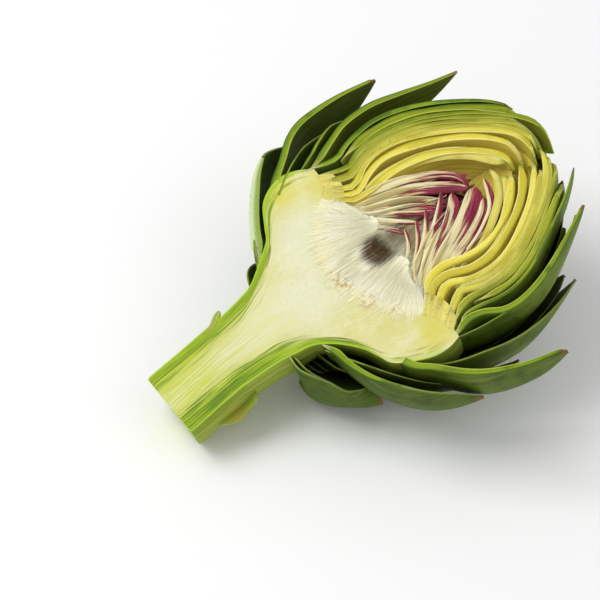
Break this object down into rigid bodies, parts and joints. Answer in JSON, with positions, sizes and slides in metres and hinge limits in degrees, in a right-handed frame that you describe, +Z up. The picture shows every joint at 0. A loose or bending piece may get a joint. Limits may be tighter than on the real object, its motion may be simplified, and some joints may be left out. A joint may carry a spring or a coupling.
{
  "type": "halved artichoke",
  "caption": "Globe artichoke halved lengthways with its stem, cut face up: heart, hairy choke, violet inner bracts and packed green outer bracts on a rounded back",
  "frame": {"origin": "on the surface that the half rests on, under the middle of its bounding box", "axes": "+X from the stem's end to the tip of the head, +Y to the left of the cut face seen from the stem, +Z up"},
  "size_m": [0.1474, 0.1348, 0.0675],
  "materials": {
    "cream_flesh": "moist cut flesh, cream inside a ribbed olive green rind",
    "green_bract": "waxy grey-green leaf with a soft sheen, bright yellow-green where cut",
    "yellow_bract": "tender pale yellow leaf, moist where cut",
    "violet_bract": "papery cream leaf with violet tips",
    "choke_hair": "fine matte cream hairs, brown in the hollow"
  },
  "bodies": {
    "root": {"stem_and_heart": "cream_flesh", "outer_bracts": "green_bract", "inner_bracts": "yellow_bract", "violet_bracts": "violet_bract", "choke": "choke_hair"}
  },
  "joints": []
}
